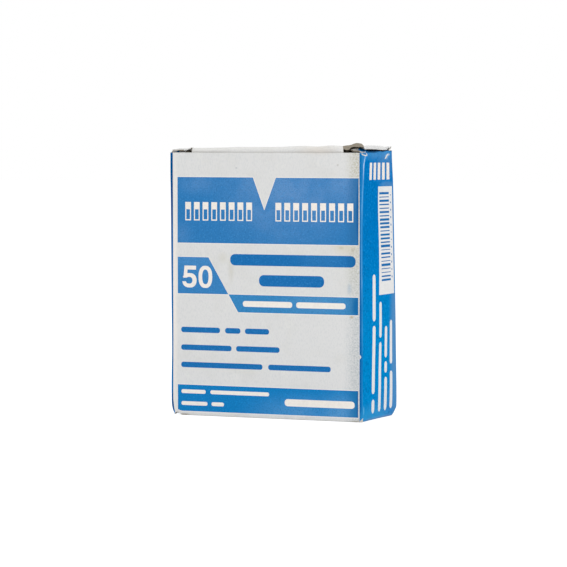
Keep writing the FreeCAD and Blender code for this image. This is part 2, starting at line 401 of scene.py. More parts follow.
def clear_of(points, outline, least):
    """Which points lie further than a least distance from a closed outline."""
    ring = np.array(outline, float)
    clear = np.ones(len(points), bool)
    for a, b in zip(ring, np.roll(ring, -1, 0)):
        way = b - a
        t = np.clip((points - a) @ way / max(way @ way, 1e-9), 0, 1)
        clear &= np.hypot(*(points - a - t[:, None] * way).T) > least
    return clear


# ---- short ways to add nodes and objects --------------------------------------------------------
def add_node(tree, kind, inputs=None, **settings):
    """New node of a tree; inputs gives what its sockets are joined to, or their plain values."""
    made = tree.nodes.new(kind)
    for name, value in settings.items():
        setattr(made, name, value)
    for socket, value in (inputs or {}).items():
        if isinstance(value, bpy.types.NodeSocket):
            tree.links.new(value, made.inputs[socket])
        else:
            made.inputs[socket].default_value = value
    return made


def put_in_scene(name, data):
    """New object that holds the data."""
    made = bpy.data.objects.new(name, data)
    bpy.context.scene.collection.objects.link(made)
    return made


# ---- node rows: what repeats --------------------------------------------------------------------
def block_row_tree():
    """Node tree that sets equal blocks in a row, each widened by a seeded amount."""
    tree = bpy.data.node_groups.new("block_row", "GeometryNodeTree")
    for name, kind, value in (("Count", "Int", 3), ("Pitch", "Float", 1.0), ("Width", "Float", 1.0),
                              ("Depth", "Float", 1.0), ("Height", "Float", 1.0), ("Narrowest", "Float", 1.0),
                              ("Widest", "Float", 1.0), ("Seed", "Int", 0), ("Finish", "Material", None)):
        socket = tree.interface.new_socket(name=name, in_out="INPUT", socket_type="NodeSocket" + kind)
        if value is not None:
            socket.default_value = value
    tree.interface.new_socket(name="Row", in_out="OUTPUT", socket_type="NodeSocketGeometry")
    given = add_node(tree, "NodeGroupInput").outputs
    step = add_node(tree, "ShaderNodeCombineXYZ", {"X": given["Pitch"]})
    line = add_node(tree, "GeometryNodeMeshLine", {"Count": given["Count"], "Offset": step.outputs[0]})
    size = add_node(tree, "ShaderNodeCombineXYZ", {"X": given["Width"], "Y": given["Depth"],
                                                   "Z": given["Height"]})
    cube = add_node(tree, "GeometryNodeMeshCube", {"Size": size.outputs[0]})
    least, most = 2, 3                     # the random value's two number sockets
    vary = add_node(tree, "FunctionNodeRandomValue", {least: given["Narrowest"], most: given["Widest"],
                                                      "Seed": given["Seed"]})
    widen = add_node(tree, "ShaderNodeCombineXYZ", {"X": vary.outputs[1], "Y": 1.0, "Z": 1.0})
    placed = add_node(tree, "GeometryNodeInstanceOnPoints", {
        "Points": line.outputs["Mesh"], "Instance": cube.outputs["Mesh"], "Scale": widen.outputs[0]})
    real = add_node(tree, "GeometryNodeRealizeInstances", {"Geometry": placed.outputs["Instances"]})
    dressed = add_node(tree, "GeometryNodeSetMaterial", {"Geometry": real.outputs["Geometry"],
                                                         "Material": given["Finish"]})
    add_node(tree, "NodeGroupOutput", {"Row": dressed.outputs["Geometry"]})
    return tree


row_tree = block_row_tree()


def block_row(name, start, **inputs):
    """Plain mesh object of a row of blocks along X from a start point."""
    holder = put_in_scene(name + "_maker", bpy.data.meshes.new(name + "_maker"))
    maker = holder.modifiers.new("row", "NODES")
    maker.node_group = row_tree
    for item in row_tree.interface.items_tree:
        if item.in_out == "INPUT" and item.name.lower() in inputs:
            maker[item.identifier] = inputs[item.name.lower()]
    graph = bpy.context.evaluated_depsgraph_get()
    mesh = bpy.data.meshes.new_from_object(holder.evaluated_get(graph), depsgraph=graph)
    holder.modifiers.remove(maker)
    bpy.data.objects.remove(holder)
    mesh.transform(Matrix.Translation(Vector(start)))
    mesh.name = name
    return put_in_scene(name, mesh)


def printed_row(start_u, start_v, wide, tall, upright=False, **inputs):
    """A row of blocks used as print: the outlines of their upper faces, in blank coordinates."""
    piece = block_row("print_row", (start_u, start_v, 0.0), depth=tall, height=0.1, width=wide, **inputs)
    shapes = []
    for face in piece.data.polygons:
        if face.normal.z > 0.5:
            corners = [piece.data.vertices[i].co for i in face.vertices]
            shapes.append([(-c.y + start_v + start_u, c.x - start_u + start_v) if upright else (c.x, c.y)
                           for c in corners])
    bpy.data.objects.remove(piece)
    return shapes


# ---- cutting, printing and folding a board ------------------------------------------------------
def cut_points(outline, fields, grids):
    """Grid points within a blank, kept clear of every printed or cut line."""
    points = []
    for u0, u1, du, v0, v1, dv in grids:
        nu, nv = max(2, round((u1 - u0) / du) + 1), max(2, round((v1 - v0) / dv) + 1)
        gu, gv = np.meshgrid(np.linspace(u0, u1, nu), np.linspace(v0, v1, nv))
        gu[1::2] += du / 2 * (dv > du * 0.6) * (dv < du * 1.7)
        grid = np.column_stack([gu.ravel(), gv.ravel()])
        keep = inside(grid, outline)
        for shape in [outline, *[shape for _, shape in fields]]:
            keep &= clear_of(grid, shape, 0.45 * min(du, dv))
        points.append(grid[keep])
    return np.vstack(points)


def edge_points(outline, step):
    """Points along the inside of a blank's cut edge, so that its wear keeps an even width."""
    ring = np.array(outline, float)
    inset, shortest = 0.3, 1.2
    points = []
    for a, b in zip(ring, np.roll(ring, -1, 0)):
        way = b - a
        length = math.hypot(*way)
        if length < shortest:
            continue
        count = max(2, round((length - 1) / step) + 1)
        run = np.linspace(0.5, length - 0.5, count)[:, None] * way / length
        for side in (-1, 1):
            points.append(a + run + side * inset * np.array([-way[1], way[0]]) / length)
    points = np.vstack(points)
    return points[inside(points, outline) & clear_of(points, outline, 0.9 * inset)]


def pressed_board(name, outline, fields, lines, grids, place, settle, finishes, wear, step=0.8, swell=None,
                  lip=None):
    """A board cut to an outline, printed, folded and given its thickness, as one closed mesh.

    fields are (finish, shape) pairs, later ones on top; lines are fold lines the mesh keeps to;
    finishes are the outer face's, then the raw board's last. swell gives how many times its thickness the
    board has frayed to, and lip tells where the coating is rolled over the cut edge.
    """
    spots, edges = [], []

    def chain(shape, closed=True):
        ring = list(shape) + ([shape[0]] if closed else [])
        first = len(spots)
        for (au, av), (bu, bv) in zip(ring, ring[1:]):
            parts = max(1, math.ceil(math.hypot(bu - au, bv - av) / step))
            for k in range(parts):
                spots.append((au + (bu - au) * k / parts, av + (bv - av) * k / parts))
        if not closed:
            spots.append(ring[-1])
        count = len(spots) - first
        edges.extend((first + k, first + k + 1) for k in range(count - 1))
        if closed:
            edges.append((first + count - 1, first))

    chain(outline)
    for _, shape in fields:
        chain(shape)
    for a, b in lines:
        chain([a, b], closed=False)
    spots.extend(map(tuple, cut_points(outline, fields, grids)))
    spots.extend(map(tuple, edge_points(outline, step)))
    merge_within, least_area = 1e-5, 1e-7
    made = delaunay_2d_cdt([Vector(p) for p in spots], edges, [], 0, merge_within)
    flat = np.array([tuple(p) for p in made[0]])
    faces = np.array([f for f in made[2] if len(f) == 3])
    faces = faces[inside(flat[faces].mean(1), outline)]
    a, b, c = flat[faces[:, 0]], flat[faces[:, 1]], flat[faces[:, 2]]
    area = (b - a)[:, 0] * (c - a)[:, 1] - (b - a)[:, 1] * (c - a)[:, 0]
    faces, area = faces[np.abs(area) > least_area], area[np.abs(area) > least_area]
    centres = flat[faces].mean(1)
    faces[area < 0] = faces[area < 0][:, ::-1]
    used = np.unique(faces)
    index = np.full(len(flat), -1)
    index[used] = np.arange(len(used))
    flat, faces = flat[used], index[faces]
    slot = np.zeros(len(faces), int)
    for finish, shape in fields:
        slot[inside(centres, shape)] = finish

    outer, normal = place(flat[:, 0], flat[:, 1])
    under = outer - normal * board * (1 if swell is None else swell(flat[:, 0], flat[:, 1])[:, None])
    outer, under = outer + settle(outer, flat), under + settle(under, flat)
    cross = np.cross(outer[faces[:, 1]] - outer[faces[:, 0]], outer[faces[:, 2]] - outer[faces[:, 0]])
    if np.sum(cross * normal[faces[:, 0]]) < 0:
        faces = faces[:, ::-1]
    n = len(flat)
    sides = {(p, q): True for tri in faces.tolist() for p, q in zip(tri, tri[1:] + tri[:1])}
    rim = [(p, q) for p, q in sides if (q, p) not in sides]
    polygons = faces.tolist() + (faces[:, ::-1] + n).tolist() + [(q, p, p + n, q + n) for p, q in rim]
    mesh = bpy.data.meshes.new(name)
    mesh.from_pydata((np.vstack([outer, under]) * MM).tolist(), [], polygons)
    for finish in finishes:
        mesh.materials.append(finish)
    raw_slot = len(finishes) - 1
    rim_at = flat[np.array(rim)].mean(1)
    rolled = np.zeros(len(rim), bool) if lip is None else lip(rim_at[:, 0], rim_at[:, 1])
    slots = np.concatenate([slot, np.full(len(faces), raw_slot), np.where(rolled, 0, raw_slot)])
    mesh.polygons.foreach_set("material_index", slots.astype(np.int32))
    mesh.polygons.foreach_set("use_smooth", np.ones(len(polygons), bool))
    fold_wear_and_highlight, edge_wear = np.zeros(2 * n, np.float32), np.zeros(2 * n, np.float32)
    fold_wear_and_highlight[:n] = wear(flat[:, 0], flat[:, 1])
    edge_wear[sorted({p for pair in rim for p in pair})] = 1.0
    for label, values in (("fold_wear_and_highlight", fold_wear_and_highlight), ("edge_wear", edge_wear)):
        mesh.attributes.new(label, "FLOAT", "POINT").data.foreach_set("value", values)
    mesh.validate()
    mesh.set_sharp_from_angle(angle=math.radians(48))
    return put_in_scene(name, mesh)


# ---- finishes -----------------------------------------------------------------------------------
def colour(red, green, blue):
    """Linear colour of a swatch given in 0-255 steps."""
    steps = [c / 255 for c in (red, green, blue)]
    return tuple(c / 12.92 if c <= 0.04045 else ((c + 0.055) / 1.055) ** 2.4 for c in steps) + (1.0,)


class Finish:
    """One material's node tree, with short ways to add what boards, ink and glass need."""

    def __init__(self, name, **sockets):
        self.material = bpy.data.materials.new(name)
        self.material.use_nodes = True
        self.tree = self.material.node_tree
        self.shader = self.tree.nodes["Principled BSDF"]
        for socket, value in sockets.items():
            self.shader.inputs[socket.replace("_", " ")].default_value = value
        self.place = self.node("ShaderNodeTexCoord")["Object"]
        self.axes = self.node("ShaderNodeSeparateXYZ", {0: self.place})

    def node(self, kind, inputs=None, **settings):
        return add_node(self.tree, kind, inputs, **settings).outputs

    def figure(self, operation, first, second):
        return self.node("ShaderNodeMath", {0: first, 1: second}, operation=operation)[0]

    def times(self, first, second):
        return self.figure("MULTIPLY", first, second)

    def plus(self, first, second):
        return self.figure("ADD", first, second)

    def ramp(self, value, low, high, start=0.0, end=1.0):
        """start up to low, end from high, smooth between."""
        return self.node("ShaderNodeMapRange", {0: value, 1: low, 2: high, 3: start, 4: end},
                         interpolation_type="SMOOTHSTEP")[0]

    def noise(self, feature, detail, rough, shift=0.0, stretch=(1, 1, 1)):
        """Cloudy value between 0 and 1 whose features are so many millimetres across."""
        moved = self.node("ShaderNodeMapping", {
            "Vector": self.place, "Location": (shift, shift * 0.7, -shift), "Scale": stretch})
        return self.node("ShaderNodeTexNoise", {
            "Vector": moved[0], "Scale": 1 / (feature * MM), "Detail": detail, "Roughness": rough})["Fac"]

    def patch(self, centre, radii, core=0.0):
        """1 at a place on the carton, falling smoothly to 0 at the radii, all in millimetres."""
        far = self.place
        for operation, by in (("SUBTRACT", [c * MM for c in centre]),
                              ("MULTIPLY", [1 / (r * MM) for r in radii])):
            far = self.node("ShaderNodeVectorMath", {0: far, 1: by}, operation=operation)[0]
        far = self.node("ShaderNodeVectorMath", {0: far}, operation="LENGTH")["Value"]
        return self.ramp(far, core, 1.0, 1.0, 0.0)

    def mix(self, first, second, share):
        return self.node("ShaderNodeMix", {0: share, 6: first, 7: second}, data_type="RGBA")[2]

    def clouds(self, base, *layers):
        """Lays clouds of tints over a base; each layer gives its tint, then what noise and ramp take."""
        for tint, noise, ramp in layers:
            base = self.mix(base, colour(*tint), self.ramp(self.noise(*noise), *ramp))
        return base

    def spots(self, base, rows, core=0.0):
        """Lays soft spots over a base; each row gives centre, radii, tint and share."""
        for centre, radii, tint, share in rows:
            base = self.mix(base, colour(*tint), self.times(self.patch(centre, radii, core), share))
        return base

    def worn(self, name):
        return self.node("ShaderNodeAttribute", attribute_name=name)["Fac"]

    def bump(self, height, depth, strength):
        """Relief so many millimetres deep."""
        made = self.node("ShaderNodeBump", {"Height": height, "Distance": depth * MM, "Strength": strength})
        self.tree.links.new(made[0], self.shader.inputs["Normal"])

    def give(self, **sockets):
        for socket, value in sockets.items():
            self.tree.links.new(value, self.shader.inputs[socket.replace("_", " ")])
        return self.material

    def board_face(self, base, depth, smooth, rough):
        """The board's fine grain, so many millimetres deep, and its uneven sheen."""
        self.bump(self.plus(self.noise(0.35, 2, 0.5), self.noise(2.5, 2, 0.5, 0.2)), depth, 0.5)
        sheen = self.ramp(self.noise(6, 3, 0.5, 0.5), 0.3, 0.7, smooth, rough)
        return self.give(Base_Color=base, Roughness=sheen)


def margin_grime(finish):
    """Handling dirt along the front panel's right-hand fold: its strength from 0 to 1."""
    x, y, z = finish.axes
    across = finish.ramp(x, 25.2 * MM, 30.2 * MM)
    front = finish.ramp(y, -13.2 * MM, -13.5 * MM)
    below = finish.ramp(z, 82.2 * MM, 81.4 * MM)
    cloud = finish.ramp(finish.noise(9, 3, 0.6, 0.3, (1, 1, 0.35)), 0.25, 0.7, 0.7, 1.0)
    return finish.times(finish.times(across, front), finish.times(below, cloud))


def coated_board(name):
    """White coated face of the board, with faint clouding, dirt at the right margin and worn folds; its
    painted light is a painted highlight on the right dust flap under the lock tab, painted shadow with dirt
    at the lower left corner and the lid's tuck fold lightened against its shade.
    """
    f = Finish(name, Roughness=0.5, Specular_IOR_Level=0.2)
    base = f.clouds(colour(219, 219, 218),
                    ((214, 214, 211), (11, 4, 0.55, 0.1), (0.48, 0.72)),
                    ((223, 223, 220), (5, 3, 0.5, 0.9), (0.55, 0.8)),
                    ((196, 196, 193), (0.9, 2, 0.5, 0.4), (0.70, 0.8, 0.0, 0.4)),
                    ((203, 205, 206), (0.42, 2, 0.6, 0.7, (1, 1, 0.45)), (0.42, 0.72, 0.0, 0.5)))
    dirt = f.mix(colour(184, 189, 191), colour(188, 186, 170), f.ramp(f.axes[2], 28 * MM, 58 * MM))
    speckle = f.ramp(f.noise(0.5, 3, 0.7, 0.25), 0.42, 0.62, 0.3, 1.35)
    base = f.mix(base, dirt, f.times(margin_grime(f), speckle))
    base = f.spots(base, (
        ((26.0, -14, 53.6), (6, 3, 4.5), (206, 198, 172), 0.55),
        ((24.9, -14, 52.9), (1.3, 2, 0.7), (186, 178, 152), 0.5),
        ((28.6, -14, 52.3), (0.8, 2, 1.2), (168, 162, 144), 0.5),
        ((28.4, -14, 32.0), (1.0, 2, 0.7), (178, 150, 92), 0.6),
        ((-9.9, -14, 77.0), (0.5, 2, 0.45), (150, 154, 160), 0.5),
        ((23.7, -14, 78.0), (0.5, 2, 0.45), (160, 150, 140), 0.5),
        ((31.4, -14, 0.6), (1.4, 2, 1.4), (190, 178, 160), 0.8),
        ((17, -13.5, 82.6), (9, 2, 2.5), (212, 205, 196), 0.7),
        ((27.6, -14, 40.5), (1.1, 2, 2.6), (150, 172, 190), 0.5),
        ((-11.6, -14, 45.6), (1.6, 2, 6.0), (196, 193, 180), 0.45),
        ((-14.5, -14, 49.4), (2.6, 2, 2.6), (203, 201, 190), 0.45),
        # Painted highlight: the right dust flap's top under the lifted lock tab, made near white as if lit.
        ((28.4, -12, 82.6), (3.2, 1.6, 0.9), (250, 250, 250), 1.0),
        ((-30.9, -14, 41), (1.5, 1.5, 76), (240, 234, 227), 0.75),
        # Dark brown at the crease's left end: dirt on the edge together with painted contact shadow.
        ((-27.4, -14, 0.2), (2.8, 1.5, 0.6), (116, 104, 90), 0.95),
        ((-30.2, -14, 0.7), (0.9, 1.5, 0.5), (150, 140, 126), 0.7),
        ((29.4, -14, 0.15), (2.4, 1.5, 0.5), (126, 116, 98), 0.85)))
    # Paler board along worn folds; on the lid's tuck fold it is also painted light that lightens the fold's
    # shade.
    base = f.mix(base, colour(234, 231, 225), f.times(f.worn("fold_wear_and_highlight"), 0.55))
    base = f.mix(base, colour(190, 184, 172), f.times(f.worn("edge_wear"), 0.12))
    return f.board_face(base, 0.012, 0.42, 0.56)


def bare_white(name, light, dull):
    """Board left bare inside the print, cleaner and a little warmer than the faces around it."""
    f = Finish(name, Roughness=0.5, Specular_IOR_Level=0.2)
    base = f.clouds(colour(*light), (dull, (0.6, 3, 0.6, 0.3), (0.4, 0.7)),
                    ([c * 0.96 for c in dull], (4, 3, 0.5, 0.5), (0.5, 0.75, 0.0, 0.5)))
    return f.board_face(base, 0.012, 0.42, 0.56)


def ink(name, deep, rubbed_and_lit, spots, everywhere=0.0, cloud=0.5, gloss=0.1, low=None, grain=0.5, weave=(1, 1, 1),
        marks=()):
    """Blue printing ink; spots are (centre, radii, strength) where it turns paler, worn pale by handling on
    the front faces and painted sheen on the side wall; marks are (centre, radii, tint, share) where it is
    scuffed through or lies thicker, and on the side wall also painted sheen and painted shade."""
    f = Finish(name, Roughness=0.42, Specular_IOR_Level=gloss)
    rub_and_sheen = 0.0
    for centre, radii, strength in spots:
        rub_and_sheen = f.figure("MAXIMUM", rub_and_sheen, f.times(f.patch(centre, radii), strength))
    uneven = f.ramp(f.noise(7, 4, 0.6, 0.6), 0.3, 0.7, -cloud / 2, cloud / 2)
    rub_and_sheen = f.plus(everywhere, f.times(rub_and_sheen, f.plus(uneven, 1.0)))
    base = f.mix(colour(*(low or deep)), colour(*deep), f.ramp(f.axes[2], 20 * MM, 62 * MM))
    base = f.mix(base, colour(*rubbed_and_lit), rub_and_sheen)
    base = f.clouds(base, ([c * 1.08 for c in deep], (1.2, 3, 0.6, 0.8), (0.5, 0.75, 0.0, 0.35)),
                    ([c * 0.84 for c in deep], (0.42, 2, 0.6, 0.7, weave), (0.45, 0.72, 0.0, grain)),
                    ([c + 34 for c in deep], (0.5, 2, 0.6, 0.35, weave), (0.5, 0.78, 0.0, grain)))
    base = f.mix(base, colour(*[c * 0.86 for c in deep]), f.times(margin_grime(f), 0.85))
    worn = f.worn("fold_wear_and_highlight")
    flecks = f.ramp(f.noise(0.45, 2, 0.6, 0.15), 0.70, 0.76)
    base = f.mix(base, colour(206, 218, 228), f.times(flecks, f.plus(0.05, f.times(worn, 0.9))))
    # Paler ink along worn folds; on the near right fold's crest it is also a painted highlight.
    fold_rub_and_highlight = f.times(worn, f.ramp(f.noise(3.2, 3, 0.6, 0.7, (1, 1, 0.4)), 0.25, 0.6, 0.55, 1.0))
    base = f.mix(base, colour(86, 170, 224), f.times(fold_rub_and_highlight, 0.85))
    base = f.mix(base, colour(172, 196, 232), f.times(f.ramp(worn, 0.6, 0.95), 0.75))
    base = f.spots(base, marks, 0.4)
    base = f.mix(base, colour(190, 204, 214), f.times(f.worn("edge_wear"), 0.35))
    return f.board_face(base, 0.010, 0.36, 0.48)


def grey_board(name):
    """Raw grey-brown recycled board, at cut edges and on the inside."""
    f = Finish(name, Roughness=0.85, Specular_IOR_Level=0.2)
    base = f.clouds(colour(152, 144, 130),
                    ((141, 133, 119), (14, 3, 0.5), (0.35, 0.7)),
                    ((124, 116, 102), (0.5, 3, 0.7, 0.2), (0.4, 0.75, 0.0, 0.7)),
                    ((180, 173, 160), (0.35, 3, 0.7, 0.3, (1, 1, 0.3)), (0.55, 0.8, 0.0, 0.5)),
                    ((96, 89, 80), (0.6, 2, 0.5, 0.6), (0.74, 0.8, 0.0, 0.6)))
    f.bump(f.noise(0.3, 3, 0.6), 0.03, 0.6)
    return f.give(Base_Color=base)


def slide_glass(name):
    """Soda-lime glass as its ground edges show it: pale green, clouded and a little rough."""
    f = Finish(name, Roughness=0.3, IOR=1.52, Transmission_Weight=0.45)
    f.bump(f.noise(0.25, 2, 0.5), 0.004, 0.5)
    return f.give(Base_Color=f.mix(colour(205, 221, 214), colour(186, 207, 200), f.noise(2.5, 3, 0.6)))


def frosted_coat(name):
    """White matt writing end of a slide."""
    f = Finish(name, Roughness=0.8, Specular_IOR_Level=0.3)
    return f.give(Base_Color=f.mix(colour(236, 236, 233), colour(222, 223, 221), f.noise(1.5, 3, 0.6)))


white = coated_board("coated_board")
raw = grey_board("grey_board")
letter_white = bare_white("letter_white", (241, 234, 226), (234, 228, 221))
label_white = bare_white("label_white", (230, 230, 229), (225, 225, 225))
banner_ink = ink("banner_ink", (43, 120, 182), (92, 142, 195),
                 [((7, -14, 75), (30, 6, 30), 1.0), ((26, -14, 73), (13, 6, 17), 0.8),
                  ((-22, -14, 72), (13, 6, 5), 0.45), ((-29, -14, 56), (6, 6, 6), 0.4)],
                 cloud=0.85, marks=[((30.65, -14, 64), (1.15, 3, 14), (0, 84, 150), 0.85)])
number_ink = ink("number_ink", (50, 125, 186), (80, 142, 198), [((-24, -14, 50), (16, 6, 9), 0.5)], 0.1)
strip_ink = ink("strip_ink", (44, 128, 186), (80, 144, 196), [((18, -14, 36), (18, 6, 6), 0.7)], 0.2,
                marks=[((30.6, -14, 35), (2.7, 3, 5), (0, 100, 162), 0.85)])
band_ink = ink("band_ink", (4, 122, 188), (86, 150, 203),
               [((27, -14, 2.5), (18, 6, 9), 1.0), ((12, -14, 2), (24, 6, 8), 0.7)],
               marks=[((30.65, -14, 5), (0.75, 3, 8), (0, 78, 148), 0.7)])
line_ink = ink("line_ink", (30, 110, 176), (64, 132, 187), [((20, -14, 50), (14, 6, 8), 0.35)], 0.05,
               gloss=0.0)
# The side wall's spots are painted sheen, the white surroundings reflected at a grazing angle.
side_ink = ink("side_ink", (0, 120, 194), (76, 132, 190),
               [((32, 6, 79), (6, 14, 9), 0.95), ((32, -1, 81.5), (6, 14, 3.4), 0.8),
                ((32, 13.5, 60), (6, 7, 20), 0.85), ((32, 14.8, 28), (6, 5.6, 34), 0.85),
                ((32, 8, 1), (6, 18, 11), 0.7)],
               gloss=0.0, low=(0, 138, 205), grain=0.65, weave=(1, 0.4, 0.7),
               # The first mark is painted sheen along the rear edge.
               marks=[((32, 14.2, 22), (6, 8, 36), (86, 142, 194), 0.92),
                      ((32, 8, 71.9), (3, 8, 1.4), (112, 154, 194), 0.35),
                      ((31.4, 7.6, 80.5), (3, 2.0, 1.1), (132, 172, 214), 0.6),
                      ((31.4, 9.4, 81.2), (3, 1.2, 0.5), (228, 231, 234), 0.5),
                      ((31.25, -14.05, 12), (1.5, 0.38, 60), (0, 88, 154), 0.75),
                      ((32, -12.6, 3.4), (2, 0.55, 1.8), (110, 186, 228), 0.8),
                      # Painted sheen along the bottom edge.
                      ((32, -2, -0.05), (3, 18, 1.15), (138, 150, 192), 0.75),
                      # Painted shade on the left fold's foot.
                      ((-32, -13.8, 1), (1.5, 3, 9), (0, 62, 124), 0.8),
                      ((32, -5, -1), (6, 16, 8), (60, 160, 212), 0.55),
                      # Painted shade on the left fold, its upper and middle part.
                      ((-32, -13.6, 78), (1.5, 4, 26), (0, 68, 130), 0.85),
                      ((-32, -13.6, 36), (1.5, 4, 50), (0, 70, 136), 0.5)])
glass = slide_glass("slide_glass")
frost = frosted_coat("frosted_coat")

# ---- carton body --------------------------------------------------------------------------------
FINISHES = [white, banner_ink, number_ink, strip_ink, band_ink, line_ink, side_ink, letter_white,
            label_white, raw]
WHITE, BANNER, NUMBER, STRIP, BAND, LINE, SIDE, LETTER, LABEL = range(9)
blue_left, blue_right = -31.21, 30.85      # the side print's boundaries near the front folds
print_left, print_right = -29.72, 30.46    # the front panel's printed fields lie between these
flap_print = 2.9                           # how far the side print runs on to a dust flap
upper_stop, lower_stop = 9.835, 0.3        # the dust flaps stop this far from the carton's middle
top_flap_end = upper_fold_z + flap_turn + half_w - flap_fold - upper_stop
low_flap_end = lower_fold_z - flap_turn - (half_w - flap_fold - lower_stop)


def flap_outline(first_u, last_u, root, end, slant=0.0):
    """Three sides of a dust flap with rounded free corners; its edge nearest the front may be cut back
    on a slant."""
    radius, steps, slant_start, slant_end = 4.0, 6, 4.2, 7.2
    front_u = min(first_u, last_u, key=abs)
    way, up = math.copysign(1, last_u - first_u), math.copysign(1, end - root)
    rim = []
    for corner, quarter, inward in ((first_u, 2, way), (last_u, 1, -way)):
        back = slant if corner == front_u else 0.0
        centre = corner + inward * (radius + back)
        angles = [(quarter - k / steps) * QUARTER for k in range(steps + 1)]
        shape = [(centre + way * radius * math.cos(angle), end - up * radius + up * radius * math.sin(angle))
                 for angle in angles]
        if back:
            cut = [(corner + inward * back, root + up * slant_end), (corner, root + up * slant_start)]
            shape = cut[::-1] + shape if quarter == 2 else shape + cut
        rim += shape
    return [(first_u, root)] + rim + [(last_u, root)]


glue_low, glue_high, glue_taper = 1.9, 80.92, 3.5
base_edge = base_sizes["half"]
crease_z = base_z - board / 2 + hinge_fold              # the front panel ends here, where its crease begins
back_top = lid_high[2] - hinge_fold
crease_x = half_w - board - wall_fold                   # half the lid crease's length
notch_u = u_back + 0.05                                 # a corner's raw edges lie a hair apart

outline = [
    (-near_u, 0.28), (-base_edge - 0.8, 0.22), (-base_edge, 0.15),
    *[(0.4 * k - base_edge, crease_z) for k in range(6)],
    (base_edge, crease_z), (base_edge, wall_end_low - 0.2), (base_edge + 0.7, 0.04), (near_u - 0.2, 0.06),
    (near_u, wall_end_low), *flap_outline(near_u, far_u, wall_end_low, low_flap_end)[1:],
    (far_u, wall_end_low), (notch_u, wall_end_low), (notch_u, 0.0), (u_back_end, 0.0),
    (u_glue - 0.25, 0.5), (u_glue, glue_low), (u_glue_end, glue_low + glue_taper),
    (u_glue_end, glue_high - glue_taper), (u_glue, glue_high), (u_glue - 0.25, front_top),
    (u_back_end, back_top), (u_back + flat_x - crease_x, back_top), (notch_u, back_top - 0.05),
    (notch_u, back_top), (far_u, back_top),
    *flap_outline(far_u, near_u, front_top, top_flap_end, slant=2.4)[:-1],
    (near_u, front_top), (near_u - 0.03, 82.15), (31.95, 82.15), (31.7, front_top), (-near_u, front_top),
    *flap_outline(-near_u, -far_u, front_top, top_flap_end, slant=2.4)[1:-1],
    (-far_u, front_top), (u_left_end, upper_fold_z), (u_left_end, lower_fold_z), (-far_u, wall_end_low),
    *flap_outline(-far_u, -near_u, wall_end_low, low_flap_end)[1:-1]]

fields = []
low, high = lower_fold_z - flap_turn, upper_fold_z + flap_print
for way, edge, far_edge, narrowing in ((-1, -blue_left, u_right_end + 5, 0.0),
                                       (1, blue_right, u_right_end + arc / 2, 0.14)):
    foot = [(edge, 5), (edge - 0.2, 2.2), (edge - 0.5, 0.9)]
    if way > 0:
        foot = [(edge + 0.12, 10), (edge + 0.15, low)]
    side_print = [(foot[-1][0], low), (far_edge, low), (far_edge, high), (edge - narrowing, high),
                  (edge - narrowing, 74), (edge, 62)] + foot
    fields.append((SIDE, [(way * u, v) for u, v in side_print]))

# The near right fold is scuffed at its foot, nicked low down, and rubbed bare at the knuckle at its top.
fields += [(WHITE, [(31.15, 0.5), (31.5, 0.0), (31.9, -0.1), (32.15, 0.3), (32.3, 1.4), (31.95, 1.2)]),
           (WHITE, [(30.8, 19.15), (31.0, 19.2), (31.35, 19.6), (31.5, 19.95), (31.3, 20.25), (31.05, 20.65),
                    (30.8, 20.7)]),
           (WHITE, oval(32.8, 81.35, 1.62, 0.66)), (LINE, oval(32.35, 81.47, 1.05, 0.36))]

printed = [(BANNER, [(print_left - 0.14, 53.74), (print_right, 53.76), (print_right, 74.03), (3.36, 74.05),
                     (-0.5, 64.05), (-4.31, 74.1), (print_left - 0.17, 74.13)]),
           (NUMBER, [(print_left - 0.05, 37.97), (-12.52, 38.0), (-19.28, 49.34),
                     (print_left - 0.09, 49.36)]),
           (STRIP, [(-9.2, 32.54), (print_right, 32.56), (print_right, 37.93), (-12.46, 38.0)]),
           (BAND, [(print_left, 1.37), (print_left + 1.5, 1.36), (print_right + 0.06, 1.45),
                   (print_right + 0.06, 9.6), (print_left - 0.04, 9.6)])]
hairline = 0.2                             # width of the cleaner line around each printed field
fields += [(LETTER, set_out(shape, hairline)) for _, shape in printed] + printed

# The banner's small upright slides: a white block each, with its clear part over it.
for first, count in ((-26.2, 8), (4.2, 9)):
    for finish, wide, tall, rise in ((LETTER, 1.95, 5.7, 0.0), (BANNER, 1.25, 3.1, -0.95)):
        row = printed_row(first, 63.55 + rise, wide, tall, count=count, pitch=2.95)
        fields += [(finish, shape) for shape in row]

# The count, fifty, set in plain figures: a five, then a nought.
five_u, figure_v, tall, stroke = -28.05, 39.85, 6.8, 1.32
fields += [
    (LETTER, oval(five_u + 2.3, figure_v + 2.25, 2.45, 2.25)),
    (NUMBER, oval(five_u + 2.2, figure_v + 2.25, 2.45 - stroke, 2.25 - stroke + 0.12)),
    (NUMBER, bar(five_u - 0.5, figure_v + 1.9, five_u + 1.35, figure_v + 3.2)),
    (LETTER, [(five_u + 0.25, figure_v + 2.95), (five_u + 1.45, figure_v + 3.1),
              (five_u + 1.75, figure_v + tall), (five_u + 0.6, figure_v + tall)]),
    (LETTER, bar(five_u + 0.75, figure_v + tall - stroke + 0.1, five_u + 4.55, figure_v + tall)),
    (LETTER, oval(five_u + 7.75, figure_v + tall / 2, 2.35, tall / 2 + 0.05)),
    (NUMBER, oval(five_u + 7.75, figure_v + tall / 2, 2.35 - stroke + 0.05, tall / 2 - stroke + 0.2))]

